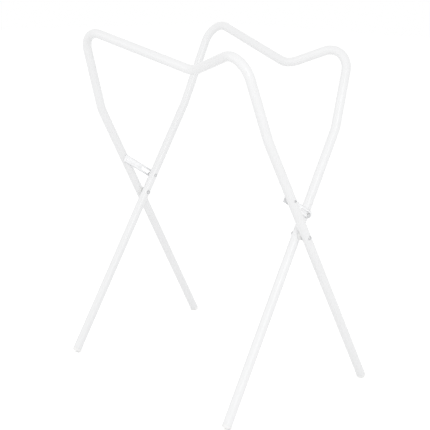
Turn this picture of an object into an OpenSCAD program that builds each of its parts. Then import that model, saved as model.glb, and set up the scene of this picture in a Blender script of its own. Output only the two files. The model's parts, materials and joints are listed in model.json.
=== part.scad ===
// Baby bath stand: two bent tube frames that cross at a pivot on each side and fold like scissors,
// held open by a slotted stay on each side. Sizes are in millimetres. +X runs along the rails,
// -Y is the front, +Z is up. The stand rests on z = 0 and is centred on the origin.
// The outer frame has its rail at the front and its feet at the back; the inner frame is the other
// way round. "Reach" is the distance from the pivot up along a straight leg, seen from the side.

/* [Tube] */
// Outside diameter of the steel tube
tube_d = 22; // [20:0.5:24]
// Wall thickness of the steel tube
tube_wall = 1; // [0.8:0.1:1.5]

/* [Legs] */
// Distance between the outer frame's legs at the pivot, centre to centre
pivot_span = 604; // [560:1:640]
// Height of the pivot above the middle of each foot's end face
pivot_rise = 405; // [390:0.5:420]
// Lean of the straight legs from upright, in degrees
leg_lean = 29.3; // [28:0.1:31]
// Spread of each leg towards its foot, in millimetres per metre of leg
leg_splay = 26; // [20:1:32]
// Clear gap between an outer and an inner leg at the pivot
leg_gap = 7; // [6:0.1:8]

/* [Shoulders] */
// Distance along the leg from the pivot to the knee bend
knee_reach = 270; // [255:1:290]
// Distance from the right knee bend up to the rail's right corner
shoulder_length = 210.5; // [200:0.5:225]
// How much longer the outer frame's left shoulder is
outer_left_rise = 14; // [0:0.5:25]
// How much longer the inner frame's left shoulder is
inner_left_rise = 30.5; // [0:0.5:40]
// Lean of the shoulders from upright, in degrees
shoulder_lean = 19.2; // [17:0.1:22]
// Lean of each shoulder towards the middle, in millimetres per metre of shoulder
shoulder_tuck = 97; // [80:1:110]
// Centre-line radius of the knee bends
knee_bend = 94; // [80:1:120]
// Centre-line radius of the rail's corners
corner_bend = 52.5; // [45:0.5:60]

/* [Rail] */
// Depth of the dip's lowest bend below the rail's right corner
dip_depth = 65; // [55:1:75]
// How far the dip leans in over the middle of the stand
dip_lean = 42.5; // [35:0.5:50]
// How far the dip's lowest bend lies to the right of the middle
dip_offset = 83; // [72:1:90]
// Centre-line radius of the dip
dip_bend = 72; // [60:1:85]

/* [Feet] */
// Length of a foot's head beyond the tube's cut end
foot_head = 7; // [5:0.5:10]
// Length of a foot's plug inside the tube
foot_plug = 18; // [12:1:25]
// Wall thickness of a foot's plug
foot_plug_wall = 2; // [1.5:0.1:3]
// Radius of a foot's lower edge
foot_edge = 2; // [1:0.1:3]
// Depth of the flat that is cut into a foot's lowest edge, where it stands
foot_flat = 2; // [1.6:0.1:2.6]

/* [Pivots] */
// Diameter of the pivot bolt's shank
bolt_d = 6; // [5:0.1:7]
// Diameter of the pivot bolt's head
bolt_head_d = 10; // [9:0.1:13]
// Height of the pivot bolt's domed head
bolt_head_h = 3; // [2:0.1:4]
// Diameter of the spacing washer between the legs
pivot_washer_d = 20; // [18:0.5:22]
// How far the spacing washer wraps round the outer leg
pivot_washer_wrap = 1.5; // [1:0.1:3]
// Diameter of the cap nut on the pivot bolt
nut_d = 10; // [9:0.1:13]
// Height of the cap nut
nut_h = 4; // [3.6:0.1:6]
// Height of the cap nut's dome
nut_dome = 2; // [1.6:0.1:2.5]

/* [Stays] */
// Reach of the stay's rivet on the outer leg
rivet_reach = 108; // [100:1:116]
// Reach of the guide pin on the inner leg
pin_reach = 50; // [46:1:54]
// Width of the stay
stay_w = 19; // [17:0.1:20]
// Thickness of the stay's steel strip
stay_t = 2; // [1.5:0.1:2.4]
// Length of the stay's square end beyond its rivet
stay_end = 11; // [8:0.5:13]
// Width of the stay's slot
slot_w = 8.6; // [8.4:0.1:9.2]
// Distance from the rivet to the near end of the slot
slot_start = 56; // [50:1:57]
// Turn of the stay past the line from rivet to pin with the stand open, in degrees
stay_tilt = 1.52; // [1.1:0.01:1.6]

/* [Stay fasteners] */
// Diameter of the rivet's and the guide pin's shanks
rivet_d = 5; // [4:0.1:5.5]
// Diameter of the rivet's domed head
rivet_head_d = 7; // [6.5:0.1:9]
// Height of the rivet's domed head
rivet_head_h = 2; // [1.5:0.1:3]
// Diameter of the guide pin's domed head
pin_head_d = 9; // [8:0.1:10]
// Height of the guide pin's domed head
pin_head_h = 2.6; // [2:0.1:3.5]
// Diameter of the rivet's formed tail
rivet_tail_d = 8; // [7:0.1:10]
// Height of the rivet's formed tail
rivet_tail_h = 1.8; // [1.2:0.1:2.5]
// Diameter of the thin washers on both sides of the stay
stay_washer_d = 11; // [10:0.1:13]
// How far the thin washers wrap round a leg
stay_washer_wrap = 0.9; // [0.5:0.1:1.3]
// Diameter of the guide pin's neck in the slot
neck_d = 3.4; // [3:0.1:3.5]
// Diameter of the guide pin's domed cap
guide_cap_d = 11; // [10:0.1:12]
// Height of the guide pin's domed cap
guide_cap_h = 3; // [2.6:0.1:3.4]

/* [Fits] */
// Radial clearance of a shank in its hole
bore_gap = 0.05; // [0.02:0.01:0.09]
// Clearance between faces that turn past each other
turn_gap = 0.15; // [0.1:0.01:0.25]
// Radial clearance of a foot's plug in the tube
plug_gap = 0.05; // [0.02:0.01:0.1]

/* [Hidden] */
$fn = 64;

OUTER = -1;                 // the side (in Y) of the outer frame's rail
INNER = 1;                  // the side of the inner frame's rail
over = 1;                   // cuts run this far past the faces that they open
tube_r = tube_d / 2;
bore_r = tube_r - tube_wall;
splay = leg_splay / 1000;
tuck = shoulder_tuck / 1000;
crest_r = tube_r * norm([1, splay]);    // half the width of a splayed leg, measured along X
outer_half = pivot_span / 2;
inner_half = outer_half - tube_d - leg_gap;

// A splayed leg's true lean, and from it how high the pivot stands.
leg_tilt = acos(cos(leg_lean) / norm([1, splay]));
leg_length = pivot_rise / cos(leg_lean);
pivot_z = pivot_rise + tube_r * sin(leg_tilt) - foot_flat;

lap = 0.5;                  // straight runs reach this far over the ends of a bend,
thinning = 0.01;            // and a bend's radius is this much under the straight tube's
saddle = 1.4;               // how far a domed head wraps round a leg
head_rim = 0.3;             // height of a domed head's straight side above the leg
tail_rim = 0.3;             // height of a rivet tail's straight side
cap_rim = 0.4;              // height of a guide cap's straight side

// The right leg's centre line, and the X of its surface, at a reach. face is 1 outside, -1 inside.
function leg_point(half, rail, reach) = [
    half - splay * reach, rail * reach * sin(leg_lean), pivot_z + reach * cos(leg_lean)
];
function leg_face(half, reach, face) = half - splay * reach + face * crest_r;

rivet_at = leg_point(outer_half, OUTER, rivet_reach);
pin_at = leg_point(inner_half, INNER, pin_reach);
pivot_at = leg_point(outer_half, OUTER, 0);

// The stay lies midway between the two leg faces that it is fastened to.
stay_x = (leg_face(outer_half, rivet_reach, -1) + leg_face(inner_half, pin_reach, 1)) / 2;
stay_span = norm([pin_at.y - rivet_at.y, pin_at.z - rivet_at.z]);
stay_angle = atan2(pin_at.z - rivet_at.z, pin_at.y - rivet_at.y) + stay_tilt;

function unit(v) = v / norm(v);
function mirrored(p) = [-p.x, p.y, p.z];

// The top of a shoulder of the given length.
function corner_point(knee, rail, length) =
    knee + length * [-tuck, rail * sin(shoulder_lean), cos(shoulder_lean)];

// A frame's centre line, from the right leg's cut end over the rail to the left leg's.
function frame_path(half, rail, rise) =
    let (
        end = leg_point(half, rail, foot_head - leg_length),
        knee = leg_point(half, rail, knee_reach),
        right = corner_point(knee, rail, shoulder_length),
        left = corner_point(knee, rail, shoulder_length + rise),
        dip = [dip_offset, right.y - rail * dip_lean, right.z - dip_depth]
    )
    [end, knee, right, dip, mirrored(left), mirrored(knee), mirrored(end)];
frame_bends = [knee_bend, corner_bend, dip_bend, corner_bend, knee_bend];

// The angle that a path turns through at b, and the straight length that a bend takes from each side.
function turn_at(a, b, c) = 180 - acos(unit(a - b) * unit(c - b));
function bend_cut(a, b, c, bend) = bend * tan(turn_at(a, b, c) / 2);

// Puts a child that is drawn along +Z at point a, pointing along d.
module pointing(a, d) {
    side = unit(cross([0, 1, 0], d));
    up = cross(d, side);
    multmatrix([[side.x, up.x, d.x, a.x], [side.y, up.y, d.y, a.y], [side.z, up.z, d.z, a.z]])
        children();
}

// A round bend at b between the straight runs from a and to c.
module elbow(a, b, c, bend, r) {
    back = unit(a - b);
    onward = unit(c - b);
    turn = turn_at(a, b, c);
    centre = b + unit(back + onward) * bend / cos(turn / 2);
    x = unit(b + back * bend_cut(a, b, c, bend) - centre);
    y = -back;
    z = cross(x, y);
    multmatrix([[x.x, y.x, z.x, centre.x], [x.y, y.y, z.y, centre.y], [x.z, y.z, z.z, centre.z]])
        rotate_extrude(angle = turn) translate([bend, 0]) circle(r);
}

// A solid round rod of radius r along a path of points, with a bend at each inner point.
module bent_rod(path, bends, r) {
    last = len(path) - 1;
    cuts = [for (i = [0:last]) (i == 0 || i == last) ? 0
        : bend_cut(path[i - 1], path[i], path[i + 1], bends[i - 1]) - lap];
    for (i = [0:last - 1]) {
        run = path[i + 1] - path[i];
        pointing(path[i] + unit(run) * cuts[i], unit(run))
            cylinder(r = r, h = norm(run) - cuts[i] - cuts[i + 1]);
    }
    for (i = [1:last - 1])
        elbow(path[i - 1], path[i], path[i + 1], bends[i - 1], r - thinning);
}

// Places children at point p, level with x, with their +Z pointing along +X or along -X.
module outward(x, p) { translate([x, p.y, p.z]) rotate([0, 90, 0]) children(); }
module inward(x, p) { translate([x, p.y, p.z]) rotate([0, -90, 0]) children(); }

module left() { mirror([1, 0, 0]) children(); }

// The straight leg as a solid rod, for cutting saddles.
module leg_rod(half, rail) {
    low = leg_point(half, rail, -2 * tube_d);
    high = leg_point(half, rail, rivet_reach + 2 * tube_d);
    pointing(low, unit(high - low)) cylinder(r = tube_r, h = norm(high - low));
}

// Holes along X through both legs of a frame.
module leg_holes(p, d) {
    outward(-pivot_span, p) cylinder(d = d + 2 * bore_gap, h = 2 * pivot_span);
}

// A round disc from z = low up to a domed top at z = h, with a straight side up to z = rim.
module domed_disc(d, low, rim, h) {
    rise = h - rim;
    ball_r = (d * d / 4 + rise * rise) / (2 * rise);
    intersection() {
        translate([0, 0, low]) cylinder(d = d, h = h - low + over);
        translate([0, 0, h - ball_r]) sphere(ball_r);
    }
}

// Tube frames

// The path with its two ends moved on by a tube diameter, so that the bore runs out of them.
function overrun(path) =
    let (last = len(path) - 1)
    [for (i = [0:last])
        i == 0 ? path[0] + unit(path[0] - path[1]) * tube_d
        : i == last ? path[last] + unit(path[last] - path[last - 1]) * tube_d
        : path[i]];

module frame_tube(half, rail, rise) {
    path = frame_path(half, rail, rise);
    difference() {
        bent_rod(path, frame_bends, tube_r);
        bent_rod(overrun(path), frame_bends, bore_r);
    }
}

module outer_frame() {
    color("white") difference() {
        frame_tube(outer_half, OUTER, outer_left_rise);
        leg_holes(pivot_at, bolt_d);
        leg_holes(rivet_at, rivet_d);
    }
}

module inner_frame() {
    color("white") difference() {
        frame_tube(inner_half, INNER, inner_left_rise);
        leg_holes(pivot_at, bolt_d);
        leg_holes(pin_at, rivet_d);
    }
}

// Feet: a moulded plug with a head of the tube's own diameter, cut flat where it stands.

module foot(half, rail) {
    end = leg_point(half, rail, -leg_length);
    plug_r = bore_r - plug_gap;
    edge = [for (a = [-90:15:0])
        [tube_r - foot_edge + foot_edge * cos(a), foot_edge + foot_edge * sin(a)]];
    color("white") difference() {
        pointing(end, unit(leg_point(half, rail, 0) - end))
            rotate_extrude() polygon(concat([[0, 0]], edge, [
                [tube_r, foot_head], [plug_r, foot_head], [plug_r, foot_head + foot_plug],
                [plug_r - foot_plug_wall, foot_head + foot_plug],
                [plug_r - foot_plug_wall, foot_head], [0, foot_head]
            ]));
        translate([end.x, end.y, -tube_d / 2])
            cube([2 * tube_d, 2 * tube_d, tube_d], center = true);
    }
}

module outer_foot() { foot(outer_half, OUTER); }
module inner_foot() { foot(inner_half, INNER); }

// Pivots: a bolt through both legs, a spacing washer between them and a cap nut inside.

nut_x = leg_face(inner_half, nut_d / 2, -1) - turn_gap;     // the nut's face, clear of the leg

module pivot_bolt() {
    head_x = leg_face(outer_half, 0, 1);
    color("#c4c6c8") {
        difference() {
            outward(head_x, pivot_at) domed_disc(bolt_head_d, -saddle, head_rim, bolt_head_h);
            leg_rod(outer_half, OUTER);
        }
        inward(head_x + head_rim, pivot_at)
            cylinder(d = bolt_d, h = head_x + head_rim - nut_x + nut_h / 2);
    }
}

module pivot_washer() {
    face_x = leg_face(inner_half, -pivot_washer_d / 2, 1) + turn_gap;
    thickness = leg_face(outer_half, 0, -1) - face_x + pivot_washer_wrap;
    color("#f0f0ee") difference() {
        outward(face_x, pivot_at) cylinder(d = pivot_washer_d, h = thickness);
        leg_rod(outer_half, OUTER);
        outward(face_x - over, pivot_at)
            cylinder(d = bolt_d + 2 * bore_gap, h = thickness + 2 * over);
    }
}

module pivot_nut() {
    color("#c4c6c8") difference() {
        inward(nut_x, pivot_at) domed_disc(nut_d, 0, nut_h - nut_dome, nut_h);
        inward(nut_x + over, pivot_at) cylinder(d = bolt_d, h = over + nut_h / 2);
    }
}

// Stays: a slotted strip, riveted to the outer leg, whose slot rides on a pin in the inner leg.

module stay() {
    color("#e6e7e8")
        translate([stay_x, rivet_at.y, rivet_at.z]) rotate([stay_angle, 0, 0]) rotate([90, 0, 90])
        translate([0, 0, -stay_t / 2]) difference() {
            union() {
                translate([-stay_end, -stay_w / 2, 0]) cube([stay_end + stay_span, stay_w, stay_t]);
                translate([stay_span, 0, 0]) cylinder(d = stay_w, h = stay_t);
            }
            translate([0, 0, -over]) {
                cylinder(d = rivet_d + 2 * bore_gap, h = stay_t + 2 * over);
                for (x = [slot_start + slot_w / 2, stay_span])
                    translate([x, 0, 0]) cylinder(d = slot_w, h = stay_t + 2 * over);
                translate([slot_start + slot_w / 2, -slot_w / 2, 0])
                    cube([stay_span - slot_start - slot_w / 2, slot_w, stay_t + 2 * over]);
            }
        }
}

module stay_rivet() {
    head_x = leg_face(outer_half, rivet_reach, 1);
    tail_x = stay_x - stay_t / 2 - turn_gap;
    color("#c4c6c8") {
        difference() {
            outward(head_x, rivet_at) domed_disc(rivet_head_d, -saddle, head_rim, rivet_head_h);
            leg_rod(outer_half, OUTER);
        }
        inward(head_x + head_rim, rivet_at)
            cylinder(d = rivet_d, h = head_x + head_rim - tail_x + rivet_tail_h / 2);
        inward(tail_x, rivet_at) domed_disc(rivet_tail_d, 0, tail_rim, rivet_tail_h);
    }
}

module stay_washer() {
    face_x = stay_x + stay_t / 2 + turn_gap;
    thickness = leg_face(outer_half, rivet_reach, -1) - face_x + stay_washer_wrap;
    color("#f0f0ee") difference() {
        outward(face_x, rivet_at) cylinder(d = stay_washer_d, h = thickness);
        leg_rod(outer_half, OUTER);
        outward(face_x - over, rivet_at)
            cylinder(d = rivet_d + 2 * bore_gap, h = thickness + 2 * over);
    }
}

module guide_pin() {
    head_x = leg_face(inner_half, pin_reach, -1);
    shank_end = stay_x - stay_t / 2 - turn_gap;
    cap_x = stay_x + stay_t / 2 + turn_gap;
    color("#c4c6c8") {
        difference() {
            inward(head_x, pin_at) domed_disc(pin_head_d, -saddle, head_rim, pin_head_h);
            leg_rod(inner_half, INNER);
        }
        outward(head_x - head_rim, pin_at) {
            cylinder(d = rivet_d, h = shank_end - head_x + head_rim);
            cylinder(d = neck_d, h = cap_x - head_x + head_rim + guide_cap_h / 2);
        }
    }
}

module guide_washer() {
    face_x = stay_x - stay_t / 2 - turn_gap;
    thickness = face_x - leg_face(inner_half, pin_reach, 1) + stay_washer_wrap;
    color("#f0f0ee") difference() {
        inward(face_x, pin_at) cylinder(d = stay_washer_d, h = thickness);
        leg_rod(inner_half, INNER);
        inward(face_x + over, pin_at)
            cylinder(d = rivet_d + 2 * bore_gap, h = thickness + 2 * over);
    }
}

module guide_cap() {
    cap_x = stay_x + stay_t / 2 + turn_gap;
    color("#c4c6c8") difference() {
        outward(cap_x, pin_at) domed_disc(guide_cap_d, 0, cap_rim, guide_cap_h);
        outward(cap_x - over, pin_at) cylinder(d = neck_d, h = over + guide_cap_h / 2);
    }
}

outer_frame();
inner_frame();
left() outer_foot();  // outer_foot_left
outer_foot();  // outer_foot_right
left() inner_foot();  // inner_foot_left
inner_foot();  // inner_foot_right
left() pivot_bolt();  // pivot_bolt_left
pivot_bolt();  // pivot_bolt_right
left() pivot_washer();  // pivot_washer_left
pivot_washer();  // pivot_washer_right
left() pivot_nut();  // pivot_nut_left
pivot_nut();  // pivot_nut_right
left() stay();  // stay_left
stay();  // stay_right
left() stay_rivet();  // stay_rivet_left
stay_rivet();  // stay_rivet_right
left() stay_washer();  // stay_washer_left
stay_washer();  // stay_washer_right
left() guide_pin();  // guide_pin_left
guide_pin();  // guide_pin_right
left() guide_washer();  // guide_washer_left
guide_washer();  // guide_washer_right
left() guide_cap();  // guide_cap_left
guide_cap();  // guide_cap_right
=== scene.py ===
# %% [markdown]
# # A folding baby bath stand
# The stand is two bent steel tubes in white enamel. They cross at a pivot on each side, and a
# slotted steel strip on each side, the stay, holds them open. The construction is already made as
# a CAD model, with every piece at its real size. What is left for Blender is how it looks: the
# enamel, the moulded feet, the plated strip and fasteners, and the light and the camera.
#
# The first cell loads the CAD model as a fixed frame. Its pieces are never moved here.

# %% Load the frame
import json
import math

import bmesh
import bpy
from mathutils import Matrix, Vector


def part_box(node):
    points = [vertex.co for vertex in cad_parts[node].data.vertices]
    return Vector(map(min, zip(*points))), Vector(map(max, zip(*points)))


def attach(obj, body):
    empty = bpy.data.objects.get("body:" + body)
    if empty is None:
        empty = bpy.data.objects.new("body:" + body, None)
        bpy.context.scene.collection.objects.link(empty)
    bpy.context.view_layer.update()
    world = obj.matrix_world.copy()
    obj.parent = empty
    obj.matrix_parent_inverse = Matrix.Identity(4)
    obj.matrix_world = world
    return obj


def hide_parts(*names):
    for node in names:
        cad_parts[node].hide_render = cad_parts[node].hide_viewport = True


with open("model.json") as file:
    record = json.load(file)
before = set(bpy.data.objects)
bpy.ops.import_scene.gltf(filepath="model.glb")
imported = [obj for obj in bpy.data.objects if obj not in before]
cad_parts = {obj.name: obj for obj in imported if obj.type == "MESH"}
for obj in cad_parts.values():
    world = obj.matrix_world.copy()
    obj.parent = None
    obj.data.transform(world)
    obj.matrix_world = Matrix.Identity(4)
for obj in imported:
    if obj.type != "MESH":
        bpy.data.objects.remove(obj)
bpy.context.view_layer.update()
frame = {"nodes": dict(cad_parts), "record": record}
nodes = frame["nodes"]

# %% [markdown]
# ## The camera
# A camera is a position, a direction, a lens and a shift. The stand was photographed from a
# little above, from its right front corner, with the picture cut off-centre. A longer lens further
# away keeps the near leg from growing too large. The shift slides the picture without tilting the
# view, as cropping a photograph does.

# %% Camera
PIVOT_Z = (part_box("pivot_bolt_right")[0].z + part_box("pivot_bolt_right")[1].z) / 2
AIM_ABOVE_PIVOT = 0.0808
AIM = Vector((0, 0, PIVOT_Z + AIM_ABOVE_PIVOT))
AZIMUTH, ELEVATION, ROLL = (math.radians(a) for a in (45.82, 12.69, 1.29))
DISTANCE = 2.288
LENS = 76.45
SHIFT = (-0.0018, -0.0815)
SENSOR_WIDTH = 36
NEAREST, FURTHEST = 0.05, 60


def aim_camera():
    """Puts the camera DISTANCE from AIM, looking at it, with the picture turned by ROLL."""
    right = Vector((math.cos(AZIMUTH), math.sin(AZIMUTH), 0))
    back = Vector((
        math.sin(AZIMUTH) * math.cos(ELEVATION),
        -math.cos(AZIMUTH) * math.cos(ELEVATION),
        math.sin(ELEVATION),
    ))
    up = back.cross(right)
    turned_right = right * math.cos(ROLL) + up * math.sin(ROLL)
    turned_up = up * math.cos(ROLL) - right * math.sin(ROLL)
    camera = bpy.data.objects.new("camera", bpy.data.cameras.new("camera"))
    bpy.context.scene.collection.objects.link(camera)
    camera.matrix_world = Matrix((turned_right, turned_up, back)).transposed().to_4x4()
    camera.location = AIM + back * DISTANCE
    camera.data.sensor_width = SENSOR_WIDTH
    camera.data.lens = LENS
    camera.data.shift_x, camera.data.shift_y = SHIFT
    camera.data.clip_start, camera.data.clip_end = NEAREST, FURTHEST
    bpy.context.scene.camera = camera
    return camera


camera = aim_camera()
print("camera at", [round(v, 3) for v in camera.location])

# %% [markdown]
# ## Light, floor and background
# The picture is almost white on white, so the light has to be soft and even: too much of it, and
# the tubes melt into the background. Most of the light comes from the world, which is the same all
# round. One large lamp near the camera makes the middle of each tube a little brighter than its
# edges, and that is what makes a white tube look round.
#
# The background is white for the camera and for reflections only. The Light Path node tells the
# world and the floor which kind of ray is asking, so the background costs no extra light on the
# object, and the floor still shows a soft shadow.

# %% Helpers for node trees
def new_material(name):
    """A new material, with its node tree and a Principled shader that is connected."""
    material = bpy.data.materials.new(name)
    material.use_nodes = True
    tree = material.node_tree
    tree.nodes.clear()
    output = tree.nodes.new("ShaderNodeOutputMaterial")
    shader = tree.nodes.new("ShaderNodeBsdfPrincipled")
    tree.links.new(shader.outputs["BSDF"], output.inputs["Surface"])
    return material, tree, shader


def add_node(tree, kind, inputs=None, **settings):
    """Adds a node, with its settings, and its inputs as values or as links."""
    node = tree.nodes.new(kind)
    for key, value in settings.items():
        setattr(node, key, value)
    for key, value in (inputs or {}).items():
        if isinstance(value, bpy.types.NodeSocket):
            tree.links.new(value, node.inputs[key])
        else:
            node.inputs[key].default_value = value
    return node


def maths(tree, operation, a, b):
    """One Math node, and its result."""
    return add_node(tree, "ShaderNodeMath", {0: a, 1: b}, operation=operation).outputs[0]


def seen_ray(tree):
    """1 for rays that see the background: from the camera, in a reflection or through glass."""
    path = add_node(tree, "ShaderNodeLightPath").outputs
    seen = maths(tree, "MAXIMUM", path["Is Camera Ray"], path["Is Glossy Ray"])
    return maths(tree, "MAXIMUM", seen, path["Is Transmission Ray"])


print("helpers ready")

# %% World and lamps
WORLD_LIGHT = 0.875
LAMP_SIZE = 1.6
FRONT_PLACE, FRONT_POWER = (2.3, -1.5, 1.5), 13
LEFT_PLACE, LEFT_POWER = (-1.2, -2.4, 1.6), 5


def light_world():
    """An even white light, which the camera and reflections see at full white."""
    world = bpy.data.worlds.new("studio")
    bpy.context.scene.world = world
    bpy.context.scene.view_settings.view_transform = "Standard"
    world.use_nodes = True
    tree = world.node_tree
    tree.nodes.clear()
    strength = add_node(tree, "ShaderNodeMapRange",
                        {"Value": seen_ray(tree), "To Min": WORLD_LIGHT, "To Max": 1.0})
    background = add_node(tree, "ShaderNodeBackground",
                          {"Color": (1, 1, 1, 1), "Strength": strength.outputs[0]})
    output = add_node(tree, "ShaderNodeOutputWorld")
    tree.links.new(background.outputs[0], output.inputs["Surface"])


def hang_lamp(name, position, power):
    """A square soft lamp that looks at the middle of the stand."""
    lamp = bpy.data.lights.new(name, "AREA")
    lamp.size = LAMP_SIZE
    lamp.energy = power
    holder = bpy.data.objects.new(name, lamp)
    bpy.context.scene.collection.objects.link(holder)
    holder.location = position
    holder.rotation_mode = "QUATERNION"
    holder.rotation_quaternion = (Vector(position) - AIM).to_track_quat("Z", "Y")
    return holder


light_world()
hang_lamp("front_lamp", FRONT_PLACE, FRONT_POWER)
hang_lamp("left_lamp", LEFT_PLACE, LEFT_POWER)
print("world light", WORLD_LIGHT)

# %% Floor
FLOOR_HALF = 12.0
FLOOR_WHITE = 0.88
FLOOR_ROUGHNESS = 0.9
FLOOR_GLOW = 0.3


def lay_floor():
    """A wide pale floor. It glows a little for the camera and in reflections, so it reads white."""
    bm = bmesh.new()
    bmesh.ops.create_grid(bm, x_segments=1, y_segments=1, size=FLOOR_HALF)
    mesh = bpy.data.meshes.new("floor")
    bm.to_mesh(mesh)
    bm.free()
    floor = bpy.data.objects.new("floor", mesh)
    bpy.context.scene.collection.objects.link(floor)
    material, tree, shader = new_material("floor_white")
    shader.inputs["Base Color"].default_value = (FLOOR_WHITE, FLOOR_WHITE, FLOOR_WHITE, 1)
    shader.inputs["Roughness"].default_value = FLOOR_ROUGHNESS
    shader.inputs["Specular IOR Level"].default_value = 0.0
    shader.inputs["Emission Color"].default_value = (1, 1, 1, 1)
    glow = maths(tree, "MULTIPLY", seen_ray(tree), FLOOR_GLOW)
    tree.links.new(glow, shader.inputs["Emission Strength"])
    mesh.materials.append(material)
    return floor


floor = lay_floor()
print("floor laid")

# %% [markdown]
# ## Tools for surfaces
# Every finish below is built from the same few parts: a noise that sticks to the piece, a colour
# that the noise picks between two limits, a roughness that it picks in the same way, and a bump.
# The size of the grains, the limits and the depth of the bump are what tells enamel from zinc.

# %% Tools for surfaces
# A Mix node has sockets of the same name for numbers, vectors and colours. The colour ones:
MIX_FACTOR, MIX_A, MIX_B, MIX_RESULT = 0, 6, 7, 2


def object_place(tree):
    """Object coordinates, which stay on the piece when the piece moves."""
    return add_node(tree, "ShaderNodeTexCoord").outputs["Object"]


def surface_noise(tree, scale, detail=2.0, roughness=0.5):
    """A noise on the piece. Its scale is in grains per metre."""
    noise = {"Vector": object_place(tree), "Scale": scale, "Detail": detail, "Roughness": roughness}
    return add_node(tree, "ShaderNodeTexNoise", noise).outputs["Fac"]


def vary(tree, amount, dark, light, low=0.35, high=0.65):
    """A colour between dark and light, picked by a 0 to 1 socket. Noise keeps near its middle."""
    ramp = add_node(tree, "ShaderNodeValToRGB", {"Fac": amount})
    ramp.color_ramp.elements[0].position, ramp.color_ramp.elements[1].position = low, high
    ramp.color_ramp.elements[0].color = (*dark, 1)
    ramp.color_ramp.elements[1].color = (*light, 1)
    return ramp.outputs["Color"]


def shaded(colour, factor):
    """A colour made darker or lighter by one factor."""
    return tuple(min(1.0, c * factor) for c in colour)


def set_roughness(tree, shader, amount, limits):
    """Lets a 0 to 1 socket pick the roughness between two limits."""
    low, high = limits
    picked = add_node(tree, "ShaderNodeMapRange", {"Value": amount, "To Min": low, "To Max": high})
    tree.links.new(picked.outputs[0], shader.inputs["Roughness"])


def add_bump(tree, shader, noise, depth, strength):
    """Links a noise to the shader's normal as a bump of the given real depth."""
    bump = add_node(tree, "ShaderNodeBump",
                    {"Strength": strength, "Distance": depth, "Height": noise})
    tree.links.new(bump.outputs["Normal"], shader.inputs["Normal"])


def mix_colours(tree, amount, first, second):
    """A blend of two colours: the first where the amount is 0, and the second where it is 1."""
    sockets = {MIX_FACTOR: amount, MIX_A: first, MIX_B: second}
    return add_node(tree, "ShaderNodeMix", sockets, data_type="RGBA").outputs[MIX_RESULT]


print("surface tools ready")

# %% [markdown]
# ## White enamel
# The tubes are enamelled, which leaves a hard glossy skin with the faint waviness of orange peel.
# A flat white would look like paper. Two things make it enamel: a clear gloss coat, and a very
# small bump from a noise texture with grains a few millimetres wide. A second, wider noise shifts
# the white by one or two parts in a hundred, as real enamel varies along a tube.

# %% Enamel
ENAMEL_WHITE = (0.885, 0.887, 0.892)
ENAMEL_SHADE = 0.985
ENAMEL_PATCHES = 9
ENAMEL_ROUGHNESS, ROUGHNESS_PATCHES = (0.32, 0.44), 35
ENAMEL_SPECULAR = 0.4
COAT_WEIGHT, COAT_ROUGHNESS = 0.35, 0.12
PEEL_GRAINS, PEEL_DEPTH, PEEL_STRENGTH = 420, 0.00006, 0.3


def make_enamel():
    material, tree, shader = new_material("white_enamel")
    patches = surface_noise(tree, ENAMEL_PATCHES)
    colour = vary(tree, patches, shaded(ENAMEL_WHITE, ENAMEL_SHADE), ENAMEL_WHITE)
    tree.links.new(colour, shader.inputs["Base Color"])
    gloss = surface_noise(tree, ROUGHNESS_PATCHES, detail=3.0)
    set_roughness(tree, shader, gloss, ENAMEL_ROUGHNESS)
    shader.inputs["Specular IOR Level"].default_value = ENAMEL_SPECULAR
    shader.inputs["Coat Weight"].default_value = COAT_WEIGHT
    shader.inputs["Coat Roughness"].default_value = COAT_ROUGHNESS
    add_bump(tree, shader, surface_noise(tree, PEEL_GRAINS, detail=3.0), PEEL_DEPTH, PEEL_STRENGTH)
    return material


enamel = make_enamel()
print("made", enamel.name)

# %% [markdown]
# ## White moulding
# The feet are moulded plastic. Next to enamel, plastic is a little duller, and its skin carries
# the fine spark-eroded grain of the mould. Light also goes a short way into it, but on a piece of
# 22 mm that can't be told from a paler colour. So the material has a higher roughness than the
# enamel, no coat, and a finer and deeper bump. Towards the floor the white turns faintly grey,
# where a foot picks up scuffs: the height comes from the Z of the Object coordinates.

# %% Moulded feet
FOOT_WHITE = (0.92, 0.92, 0.915)
FOOT_SHADE = 0.97
FOOT_ROUGHNESS, FOOT_GRAINS = (0.42, 0.55), 160
SCUFF_TOP = 0.010
SPARK_GRAINS, SPARK_DEPTH, SPARK_STRENGTH = 1500, 0.00004, 0.6


def make_foot_plastic():
    material, tree, shader = new_material("white_plastic")
    height = add_node(tree, "ShaderNodeSeparateXYZ", {0: object_place(tree)}).outputs["Z"]
    above = add_node(tree, "ShaderNodeMapRange", {"Value": height, "From Max": SCUFF_TOP})
    grain = surface_noise(tree, FOOT_GRAINS, detail=4.0, roughness=0.6)
    half_grain = maths(tree, "MULTIPLY", grain, 0.5)
    clean = maths(tree, "ADD", half_grain, maths(tree, "MULTIPLY", above.outputs[0], 0.5))
    colour = vary(tree, clean, shaded(FOOT_WHITE, FOOT_SHADE), FOOT_WHITE, low=0.2, high=0.9)
    tree.links.new(colour, shader.inputs["Base Color"])
    set_roughness(tree, shader, grain, FOOT_ROUGHNESS)
    add_bump(tree, shader, surface_noise(tree, SPARK_GRAINS), SPARK_DEPTH, SPARK_STRENGTH)
    return material


foot_plastic = make_foot_plastic()
print("made", foot_plastic.name)
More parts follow.
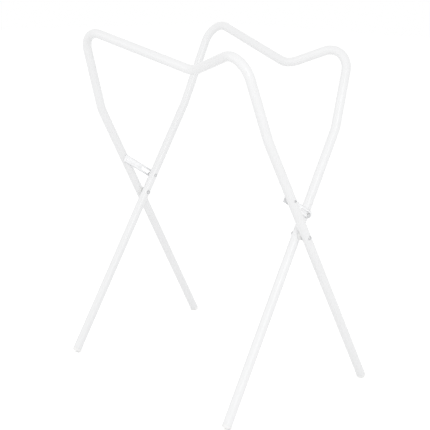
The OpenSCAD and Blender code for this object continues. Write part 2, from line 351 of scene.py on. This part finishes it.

# %% [markdown]
# ## Zinc on the stays
# The stays are stamped from strip and plated with zinc. Zinc is a metal, so it takes its
# brightness from what it reflects, here a white room. It is quite rough, because a smoother strip
# would mirror the dark gap between itself and the leg. Rolling leaves fine lines along the strip. A
# noise that is stretched along one direction gives such lines, both in the bump and in the
# roughness. Cloudy patches a centimetre wide are where the plating is thicker.
#
# Stamping leaves the strip's long edges duller than its faces, and along them the colour is also
# darkened as painted shade, so that the strip's edges read as dark lines. The coordinates are moved
# to the rivet and turned along the strip, so that Z is the distance from its middle line. Near the
# edges that distance grows, and the colour goes down to a darker zinc: partly duller metal, partly
# painted shade.

# %% Zinc
ZINC = (0.92, 0.923, 0.93)
ZINC_SHADE = 0.96
# Partly a duller sheared edge, partly painted shade along the strip's long edges.
DULL_AND_SHADED_ZINC = (0.72, 0.725, 0.735)
ZINC_CLOUDS = 90
ZINC_ROUGHNESS = (0.5, 0.7)
STAY_TURN = math.radians(31.67)
STAY_HALF_WIDTH = 0.0095
DULL_AND_SHADED_BORDER = 0.0024
LINE_STRETCH = (1.0, 0.02, 1.0)
LINE_GRAINS, LINE_DEPTH, LINE_STRENGTH = 1400, 0.00003, 0.5
rivet_low, rivet_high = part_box("stay_rivet_right")
RIVET_CENTRE = (rivet_low + rivet_high) / 2


def along_stay(tree):
    """Object coordinates moved to the rivet and turned, so that Y runs along the stays."""
    centre = (0, RIVET_CENTRE.y, RIVET_CENTRE.z)
    moved = add_node(tree, "ShaderNodeVectorMath", {0: object_place(tree), 1: centre},
                     operation="SUBTRACT")
    turned = add_node(tree, "ShaderNodeMapping",
                      {"Vector": moved.outputs[0], "Rotation": (STAY_TURN, 0, 0)})
    return turned.outputs[0]


def make_zinc():
    material, tree, shader = new_material("zinc_strip")
    strip = along_stay(tree)
    across = add_node(tree, "ShaderNodeSeparateXYZ", {0: strip}).outputs["Z"]
    # The band along each long edge where the colour is darkened: partly duller metal, partly
    # painted shade.
    dull_and_shaded_border = add_node(tree, "ShaderNodeMapRange", {
        "Value": maths(tree, "ABSOLUTE", across, 0.0),
        "From Min": STAY_HALF_WIDTH - DULL_AND_SHADED_BORDER,
        "From Max": STAY_HALF_WIDTH,
    }, interpolation_type="SMOOTHSTEP").outputs[0]
    drawn = add_node(tree, "ShaderNodeMapping", {"Vector": strip, "Scale": LINE_STRETCH})
    noise = {"Vector": drawn.outputs[0], "Scale": LINE_GRAINS, "Detail": 3.0}
    lines = add_node(tree, "ShaderNodeTexNoise", noise).outputs["Fac"]
    cloud = surface_noise(tree, ZINC_CLOUDS, detail=3.0)
    face = vary(tree, cloud, shaded(ZINC, ZINC_SHADE), ZINC)
    colour = mix_colours(tree, dull_and_shaded_border, face, (*DULL_AND_SHADED_ZINC, 1))
    tree.links.new(colour, shader.inputs["Base Color"])
    shader.inputs["Metallic"].default_value = 1.0
    streaks = maths(tree, "ADD", maths(tree, "MULTIPLY", lines, 0.5), cloud)
    set_roughness(tree, shader, streaks, ZINC_ROUGHNESS)
    add_bump(tree, shader, lines, LINE_DEPTH, LINE_STRENGTH)
    return material


zinc = make_zinc()
print("made", zinc.name)

# %% [markdown]
# ## White nylon for the washers
# The washers that keep the legs apart are moulded in white nylon, which is a little warmer and
# duller than the enamel. They sit in the shade between the legs, and what shows of them is their
# rim, so a soft sheen and a fine grain are enough.

# %% Nylon
NYLON = (0.86, 0.86, 0.855)
NYLON_SHADE = 0.96
NYLON_ROUGHNESS, NYLON_GRAINS = (0.45, 0.6), 240
NYLON_SKIN_GRAINS, NYLON_SKIN_DEPTH, NYLON_SKIN_STRENGTH = 1800, 0.00003, 0.6


def make_nylon():
    material, tree, shader = new_material("washer_nylon")
    grain = surface_noise(tree, NYLON_GRAINS, detail=4.0, roughness=0.6)
    colour = vary(tree, grain, shaded(NYLON, NYLON_SHADE), NYLON)
    tree.links.new(colour, shader.inputs["Base Color"])
    set_roughness(tree, shader, grain, NYLON_ROUGHNESS)
    skin = surface_noise(tree, NYLON_SKIN_GRAINS)
    add_bump(tree, shader, skin, NYLON_SKIN_DEPTH, NYLON_SKIN_STRENGTH)
    return material


nylon = make_nylon()
print("made", nylon.name)

# %% [markdown]
# ## Steel for the bolts and rivets
# The fasteners are plain plated steel, duller and darker than the stays. Each domed head reflects
# the whole room, so a plain metal would mirror it too cleanly. A noise in the roughness breaks the
# reflection up, and a finer one in the colour gives the speckle of thin plating.
#
# The photo shows no dark dot where the rivet's tail should lie on the far stay. So the tail, which
# is pressed against the strip, takes the strip's pale zinc. A mask finds it by its place: close to
# the rivet's axis, and close to the rivet's inner end.

# %% Steel
FASTENER_STEEL = (0.66, 0.665, 0.672)
STEEL_SHADE = 0.85
STEEL_ROUGHNESS, STEEL_PATCHES = (0.4, 0.56), 260
SPECKLE_GRAINS, SPECKLE_DEPTH, SPECKLE_STRENGTH = 700, 0.00003, 0.4
TAIL_REACH = 0.006
TAIL_DEPTH = 0.0019


def at_rivet_tail(tree):
    """1 on the pressed tail of a stay's rivet, and 0 on everything else."""
    place = along_stay(tree)
    off_axis = add_node(tree, "ShaderNodeVectorMath", {0: place, 1: (0, 1, 1)},
                        operation="MULTIPLY")
    distance = add_node(tree, "ShaderNodeVectorMath", {0: off_axis.outputs[0]}, operation="LENGTH")
    near = maths(tree, "LESS_THAN", distance.outputs["Value"], TAIL_REACH)
    x = add_node(tree, "ShaderNodeSeparateXYZ", {0: place}).outputs["X"]
    either_side = maths(tree, "ABSOLUTE", x, 0.0)
    inside = maths(tree, "LESS_THAN", either_side, rivet_low.x + TAIL_DEPTH)
    return maths(tree, "MULTIPLY", near, inside)


def make_steel():
    material, tree, shader = new_material("fastener_steel")
    speckle = surface_noise(tree, SPECKLE_GRAINS, detail=3.0, roughness=0.6)
    speckled = vary(tree, speckle, shaded(FASTENER_STEEL, STEEL_SHADE), FASTENER_STEEL)
    colour = mix_colours(tree, at_rivet_tail(tree), speckled, (*ZINC, 1))
    tree.links.new(colour, shader.inputs["Base Color"])
    shader.inputs["Metallic"].default_value = 1.0
    set_roughness(tree, shader, surface_noise(tree, STEEL_PATCHES, detail=3.0), STEEL_ROUGHNESS)
    add_bump(tree, shader, speckle, SPECKLE_DEPTH, SPECKLE_STRENGTH)
    return material


steel = make_steel()
print("made", steel.name)

# %% [markdown]
# ## Which piece gets which finish
# The CAD record names a material slot for every piece. A CAD piece whose shape is right keeps its
# mesh and gets the finish through its own material slots. The tube frames are such pieces. The
# small pieces are made again further on, with softer edges, and they take the same finishes.

# %% Dress the CAD pieces
FINISH = {
    "white_enamel": enamel,
    "white_plastic": foot_plastic,
    "zinc_strip": zinc,
    "washer_nylon": nylon,
    "fastener_steel": steel,
}
SLOT = {part["node"]: part["material_slot"] for part in frame["record"]["subparts"]}
BODIES = frame["record"]["behaviour"]["bodies"]
BODY = {node: body for body, members in BODIES.items() for node in members}

for node, slot in SLOT.items():
    for material_slot in nodes[node].material_slots:
        material_slot.material = FINISH[slot]
print("dressed", len(SLOT), "pieces")

# %% [markdown]
# ## The legs in numbers
# Every small piece sits on a leg, so a few functions that know where the legs are save a lot of
# searching. A leg is a straight line through the pivot. "Reach" is the distance along it from the
# pivot, upwards. The functions give a point on a leg's centre line, and the X of the tube's
# surface at any height, which is what a washer or a rivet head is shaped to. Everything is worked
# out for the right side and mirrored for the left.

# %% Legs
TUBE_R = 0.011
LEG_LEAN = math.radians(29.3)
LEG_SPLAY = 0.026
LEG_HALF = {"outer": 0.302, "inner": 0.273}
LEG_RAIL = {"outer": -1, "inner": 1}
LEG_STRETCH = math.hypot(1, LEG_SPLAY)
PIVOT_RISE = 0.405
LEG_LENGTH = PIVOT_RISE / math.cos(LEG_LEAN)
RIVET_REACH = 0.108
PIN_REACH = 0.050
TURN_GAP = 0.00015


def leg_x(frame_name, reach):
    """The X of the right leg's centre line."""
    return LEG_HALF[frame_name] - LEG_SPLAY * reach


def leg_point(frame_name, reach):
    """A point on the right leg's centre line."""
    y = LEG_RAIL[frame_name] * reach * math.sin(LEG_LEAN)
    return Vector((leg_x(frame_name, reach), y, PIVOT_Z + reach * math.cos(LEG_LEAN)))


def leg_surface(frame_name, y, z, face):
    """The X of the right leg's surface at y and z, on its outer (1) or inner (-1) face."""
    rail = LEG_RAIL[frame_name]
    reach = y * rail * math.sin(LEG_LEAN) + (z - PIVOT_Z) * math.cos(LEG_LEAN)
    across = y * math.cos(LEG_LEAN) - (z - PIVOT_Z) * rail * math.sin(LEG_LEAN)
    bulge = math.sqrt(max(0.0, TUBE_R ** 2 - across ** 2))
    return leg_x(frame_name, reach) + face * bulge * LEG_STRETCH


def leg_face(frame_name, reach, face):
    """The X of the middle of a leg's face."""
    return leg_x(frame_name, reach) + face * TUBE_R * LEG_STRETCH


PIVOT = leg_point("outer", 0)
RIVET = leg_point("outer", RIVET_REACH)
PIN = leg_point("inner", PIN_REACH)
STAY_X = (leg_face("outer", RIVET_REACH, -1) + leg_face("inner", PIN_REACH, 1)) / 2
stay_low, stay_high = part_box("stay_right")
STAY_HALF = (stay_high.x - stay_low.x) / 2
print("stay off its place by", round((stay_low.x + stay_high.x) / 2 - STAY_X, 6))

# %% [markdown]
# ## Turned and moulded pieces
# A bolt head, a nut, a washer or a foot is round, so it is drawn as half of its outline and spun
# round its axis. Spin copies the outline in small steps and joins the copies. Afterwards the
# doubled points on the axis are merged and the normals are turned outwards.
#
# Where such a piece sits on a leg, its edge isn't flat but follows the tube. The points that
# should touch the tube are simply moved along X until they do.

# %% Round shapes
SPIN_STEPS = 48
DOME_STEPS = 8
RIM_EDGE, RIM_STEPS = 0.00025, 2
SAME_POINT = 1e-6
NO_LENGTH = 1e-7
SMOOTH_BELOW = math.radians(35)


def arc(centre, radius, start, end, steps):
    """Points (r, z) along an arc, from one angle to another, in degrees."""
    angles = [math.radians(start + (end - start) * i / steps) for i in range(steps + 1)]
    return [(centre[0] + radius * math.cos(a), centre[1] + radius * math.sin(a)) for a in angles]


def dome(radius, rim, height, edge=RIM_EDGE):
    """Half the outline of a domed top: a small rounded edge, then a round cap up to the axis."""
    rise = height - rim
    ball = (radius * radius + rise * rise) / (2 * rise)
    edge_turn = math.degrees(math.asin((radius - edge) / ball))
    cap = arc((0, height - ball), ball, 90 - edge_turn, 90, DOME_STEPS)
    return arc((radius - edge, rim - edge), edge, 0, edge_turn, RIM_STEPS) + cap[1:]


def spun(profile, steps=SPIN_STEPS):
    """A bmesh made by spinning the outline (r, z) round the Z axis."""
    bm = bmesh.new()
    points = [bm.verts.new((r, 0, z)) for r, z in profile]
    edges = [bm.edges.new(pair) for pair in zip(points, points[1:])]
    bmesh.ops.spin(bm, geom=points + edges, cent=(0, 0, 0), axis=(0, 0, 1), dvec=(0, 0, 0),
                   angle=math.tau, steps=steps, use_merge=True, use_duplicate=False)
    bmesh.ops.remove_doubles(bm, verts=bm.verts, dist=SAME_POINT)
    bmesh.ops.dissolve_degenerate(bm, edges=bm.edges, dist=NO_LENGTH)
    return bm


def turn_along_x(bm, x, place, direction):
    """Moves a piece that was made along Z so that it lies along X, from x at the given place."""
    to_x = Matrix(((0, 0, direction, x), (1, 0, 0, place.y), (0, 1, 0, place.z), (0, 0, 0, 1)))
    bmesh.ops.transform(bm, matrix=to_x, verts=bm.verts)


def seat_on_leg(verts, frame_name, face):
    """Moves points along X onto the surface of a leg."""
    for v in verts:
        v.co.x = leg_surface(frame_name, v.co.y, v.co.z, face)


def add_piece(bm, name, node, left=False):
    """Closes a piece: mirrors it for the left side, and lets it ride in place of its CAD node."""
    if left:
        bmesh.ops.scale(bm, vec=(-1, 1, 1), verts=bm.verts)
    bmesh.ops.recalc_face_normals(bm, faces=bm.faces)
    mesh = bpy.data.meshes.new(name)
    bm.to_mesh(mesh)
    bm.free()
    mesh.shade_smooth()
    mesh.set_sharp_from_angle(angle=SMOOTH_BELOW)
    mesh.materials.append(FINISH[SLOT[node]])
    piece = bpy.data.objects.new(name, mesh)
    bpy.context.scene.collection.objects.link(piece)
    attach(piece, BODY[node])
    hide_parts(node)
    return piece


def both_sides(make, node):
    """Makes a piece for the right and the left."""
    made = [add_piece(make(), f"{node}_{side}_turned", f"{node}_{side}", side == "left")
            for side in ("right", "left")]
    print(node, "faces:", len(made[0].data.polygons))


print("shaping tools ready")

# %% [markdown]
# ## Feet
# Each leg ends in a moulded foot: a plug that is pushed into the tube, and a head as wide as the
# tube, with a rounded edge. It stands on a small flat that is cut into the lowest part of that
# edge, because the legs lean. The outline has a shallow groove where the head meets the tube, and
# two rings pressed into the sole. The flat is made with bisect_plane, which cuts everything below
# the floor away, and the open cut is filled with one face.

# %% Feet
FOOT_HEAD = 0.007
FOOT_PLUG = 0.018
PLUG_R = 0.00995
PLUG_WALL = 0.002
FOOT_EDGE, FOOT_EDGE_STEPS = 0.002, 6
GROOVE = 0.0003
SOLE_RINGS = (0.0035, 0.0065)
FOOT_STEPS = 64


def foot_profile():
    """Half the outline of a foot, from the middle of its sole to the middle of its plug's floor."""
    plug_end = FOOT_HEAD + FOOT_PLUG
    rings = [(0, 0)]
    for radius in SOLE_RINGS:
        rings += [(radius - GROOVE, 0), (radius, GROOVE), (radius + GROOVE, 0)]
    edge = arc((TUBE_R - FOOT_EDGE, FOOT_EDGE), FOOT_EDGE, -90, 0, FOOT_EDGE_STEPS)
    top = [
        (TUBE_R, FOOT_HEAD - 2 * GROOVE), (TUBE_R - GROOVE, FOOT_HEAD - GROOVE),
        (TUBE_R - GROOVE, FOOT_HEAD), (PLUG_R, FOOT_HEAD), (PLUG_R, plug_end - GROOVE),
        (PLUG_R - GROOVE, plug_end), (PLUG_R - PLUG_WALL, plug_end),
        (PLUG_R - PLUG_WALL, FOOT_HEAD), (0, FOOT_HEAD),
    ]
    return rings + edge + top


def mould_foot(frame_name):
    """A foot on the right leg of a frame, cut flat at the floor."""
    end = leg_point(frame_name, -LEG_LENGTH)
    up = (leg_point(frame_name, 0) - end).normalized()
    bm = spun(foot_profile(), FOOT_STEPS)
    turn = up.to_track_quat("Z", "Y").to_matrix().to_4x4()
    bmesh.ops.transform(bm, matrix=Matrix.Translation(end) @ turn, verts=bm.verts)
    everything = bm.verts[:] + bm.edges[:] + bm.faces[:]
    cut = bmesh.ops.bisect_plane(bm, geom=everything, dist=NO_LENGTH, plane_co=(0, 0, 0),
                                 plane_no=(0, 0, -1), clear_outer=True)
    rim = [item for item in cut["geom_cut"] if isinstance(item, bmesh.types.BMEdge)]
    bmesh.ops.contextual_create(bm, geom=rim)
    return bm


for frame_name in ("outer", "inner"):
    both_sides(lambda: mould_foot(frame_name), f"{frame_name}_foot")

# %% [markdown]
# ## Stays
# A stay is a stamped strip with a slot. The CAD mesh already has its exact outline, so a copy of it
# is the quickest start. A CAD mesh comes as loose triangles, so its doubled points are merged and
# the flat faces joined first. Then every sharp edge gets a small round: stamping and tumbling leave
# one, and without it no edge catches the light.

# %% Stays
STAMPED_EDGE = 0.0003
EDGE_STEPS = 3
FLAT_BELOW, SHARP_ABOVE = math.radians(0.5), math.radians(40)


def softened(node, width):
    """A copy of a CAD piece with its sharp edges rounded."""
    bm = bmesh.new()
    bm.from_mesh(nodes[node].data)
    bmesh.ops.remove_doubles(bm, verts=bm.verts, dist=SAME_POINT)
    bmesh.ops.dissolve_limit(bm, angle_limit=FLAT_BELOW, verts=bm.verts, edges=bm.edges)
    sharp = [e for e in bm.edges if len(e.link_faces) == 2 and e.calc_face_angle() > SHARP_ABOVE]
    bmesh.ops.bevel(bm, geom=sharp, offset=width, offset_type="OFFSET", segments=EDGE_STEPS,
                    profile=0.5, affect="EDGES", clamp_overlap=True, material=-1)
    return bm


for side in ("left", "right"):
    stay = add_piece(softened(f"stay_{side}", STAMPED_EDGE), f"stay_{side}_stamped", f"stay_{side}")
    print(stay.name, "faces:", len(stay.data.polygons))

# %% [markdown]
# ## Washers
# Three kinds of washer keep things apart. The large one at the pivot is moulded to the outer leg on
# one side and flat on the other, where the inner leg turns against it. The two small ones, at each
# end of the stay, wrap round a leg in the same way. Each outline starts and ends at the bore. The
# side that meets the leg is divided into rings, so that it has points enough to follow the tube,
# and its points stop at the washer's own thickness where the tube falls away.

# %% Washers
PIVOT_WASHER_R = 0.010
STAY_WASHER_R = 0.0055
PIVOT_WRAP = 0.0015
STAY_WRAP = 0.0009
BOLT_BORE = 0.00305
RIVET_BORE = 0.00255
SADDLE_RINGS = 6
SOFT_EDGE = 0.0003
UPPER_BAND = SOFT_EDGE * 1.5


def washer(radius, bore, thickness, flat_x, place, frame_name, face):
    """A washer with a flat face at flat_x, whose other face follows a leg."""
    rings = [bore + (radius - SOFT_EDGE - bore) * i / SADDLE_RINGS for i in range(SADDLE_RINGS + 1)]
    flat = [(bore, SOFT_EDGE), (bore + SOFT_EDGE, 0), (radius - SOFT_EDGE, 0), (radius, SOFT_EDGE)]
    shoulder = [(radius, thickness - SOFT_EDGE)]
    top = [(r, thickness) for r in reversed(rings)]
    bm = spun(flat + shoulder + top + flat[:1])
    upper = [v for v in bm.verts if v.co.z > thickness - UPPER_BAND]
    turn_along_x(bm, flat_x, place, -face)
    for v in upper:
        seat = leg_surface(frame_name, v.co.y, v.co.z, face)
        v.co.x = max(v.co.x, seat) if face > 0 else min(v.co.x, seat)
    return bm


def pivot_washer():
    flat_x = leg_face("inner", -PIVOT_WASHER_R, 1) + TURN_GAP
    thickness = leg_face("outer", 0, -1) - flat_x + PIVOT_WRAP
    return washer(PIVOT_WASHER_R, BOLT_BORE, thickness, flat_x, PIVOT, "outer", -1)


def stay_washer():
    flat_x = STAY_X + STAY_HALF + TURN_GAP
    thickness = leg_face("outer", RIVET_REACH, -1) - flat_x + STAY_WRAP
    return washer(STAY_WASHER_R, RIVET_BORE, thickness, flat_x, RIVET, "outer", -1)


def guide_washer():
    flat_x = STAY_X - STAY_HALF - TURN_GAP
    thickness = flat_x - leg_face("inner", PIN_REACH, 1) + STAY_WRAP
    return washer(STAY_WASHER_R, RIVET_BORE, thickness, flat_x, PIN, "inner", 1)


both_sides(pivot_washer, "pivot_washer")
both_sides(stay_washer, "stay_washer")
both_sides(guide_washer, "guide_washer")

# %% [markdown]
# ## Bolts, rivets and pins
# These are turned pieces: a domed head that is seated on the tube, a shank through it, and a cap, a
# tail or a neck at the other end. Only the domes show, but the shanks are there too, because each
# piece is one solid thing. The heads' lower edge is a ring of points that is seated on the leg.
#
# The rivet is a blind rivet, which is set from one side by pulling a pin through it. The pin breaks
# off and leaves a small hole in the head. The hole is dark because little light gets into it.

# %% Fasteners
BOLT_R, BOLT_HEAD_R, BOLT_HEAD_H = 0.003, 0.005, 0.003
NUT_R, NUT_H, NUT_DOME = 0.005, 0.004, 0.002
RIVET_R, RIVET_HEAD_R, RIVET_HEAD_H = 0.0025, 0.0035, 0.002
PIN_HEAD_R, PIN_HEAD_H = 0.0045, 0.0026
TAIL_R, TAIL_H = 0.004, 0.0018
NECK_R = 0.0017
CAP_R, CAP_H = 0.0055, 0.003
HEAD_RIM = 0.0003
CAP_RIM = 0.0004
SADDLE = 0.0014
PIT_R, PIT_DEPTH = 0.0015, 0.0022
BOLT_CHAMFER = 0.0004
TURNED_EDGE = 0.0002
NUT_DOME_EDGE = 0.0004
WAIST_LOW, WAIST_HIGH, WAIST_IN = 0.0008, 0.0010, 0.0003


def headed(head_r, head_h, steps_down):
    """Half the outline of a piece: a domed head above z = 0, then steps (r, z) down its shank."""
    top = list(reversed(dome(head_r, HEAD_RIM, head_h)))
    skirt = [(head_r, -SADDLE), (steps_down[0][0], -SADDLE)]
    return top + skirt + steps_down


def pitted(outline):
    """The outline of a head with a small round hole in its middle."""
    outside = [point for point in outline if point[0] > PIT_R or point[1] < 0]
    brim = outside[0][1]
    return [(0, brim - PIT_DEPTH), (PIT_R, brim - PIT_DEPTH), (PIT_R, brim)] + outside


def seat_head(bm, frame_name, face, x):
    """Seats the ring of a head's skirt on the leg."""
    skirt = [v for v in bm.verts if abs((x - v.co.x) * face - SADDLE) < SAME_POINT]
    seat_on_leg(skirt, frame_name, face)


def nut_face():
    return leg_face("inner", NUT_R, -1) - TURN_GAP


def pivot_bolt():
    head_x = leg_face("outer", 0, 1)
    tip = nut_face() - NUT_H / 2 - head_x
    steps_down = [(BOLT_R, tip + BOLT_CHAMFER), (BOLT_R - BOLT_CHAMFER, tip), (0, tip)]
    bm = spun(headed(BOLT_HEAD_R, BOLT_HEAD_H, steps_down))
    turn_along_x(bm, head_x, PIVOT, 1)
    seat_head(bm, "outer", 1, head_x)
    return bm


def pivot_nut():
    bore = [(0, NUT_H / 2), (BOLT_R, NUT_H / 2), (BOLT_R, 0)]
    edge = [(NUT_R - TURNED_EDGE, 0), (NUT_R, TURNED_EDGE)]
    waist = [(NUT_R, WAIST_LOW), (NUT_R - WAIST_IN, WAIST_HIGH)]
    top = dome(NUT_R - WAIST_IN, NUT_H - NUT_DOME, NUT_H, NUT_DOME_EDGE)
    bm = spun(bore + edge + waist + top)
    turn_along_x(bm, nut_face(), PIVOT, -1)
    return bm


def stay_rivet():
    head_x = leg_face("outer", RIVET_REACH, 1)
    tail_z = STAY_X - STAY_HALF - TURN_GAP - head_x
    tail = [(TAIL_R, tail_z)] + [(r, tail_z - z) for r, z in dome(TAIL_R, HEAD_RIM, TAIL_H)]
    steps_down = [(RIVET_R, tail_z)] + tail
    bm = spun(pitted(headed(RIVET_HEAD_R, RIVET_HEAD_H, steps_down)))
    turn_along_x(bm, head_x, RIVET, 1)
    seat_head(bm, "outer", 1, head_x)
    return bm


def guide_pin():
    head_x = leg_face("inner", PIN_REACH, -1)
    shank_z = head_x - (STAY_X - STAY_HALF - TURN_GAP)
    neck_z = head_x - (STAY_X + STAY_HALF + TURN_GAP) - CAP_H / 2
    steps_down = [(RIVET_R, shank_z), (NECK_R, shank_z), (NECK_R, neck_z), (0, neck_z)]
    bm = spun(headed(PIN_HEAD_R, PIN_HEAD_H, steps_down))
    turn_along_x(bm, head_x, PIN, -1)
    seat_head(bm, "inner", -1, head_x)
    return bm


def guide_cap():
    base = [(0, CAP_H / 2), (NECK_R, CAP_H / 2), (NECK_R, 0), (CAP_R - TURNED_EDGE, 0)]
    bm = spun(base + dome(CAP_R, CAP_RIM, CAP_H, TURNED_EDGE))
    turn_along_x(bm, STAY_X + STAY_HALF + TURN_GAP, PIN, 1)
    return bm


for make in (pivot_bolt, pivot_nut, stay_rivet, guide_pin, guide_cap):
    both_sides(make, make.__name__)
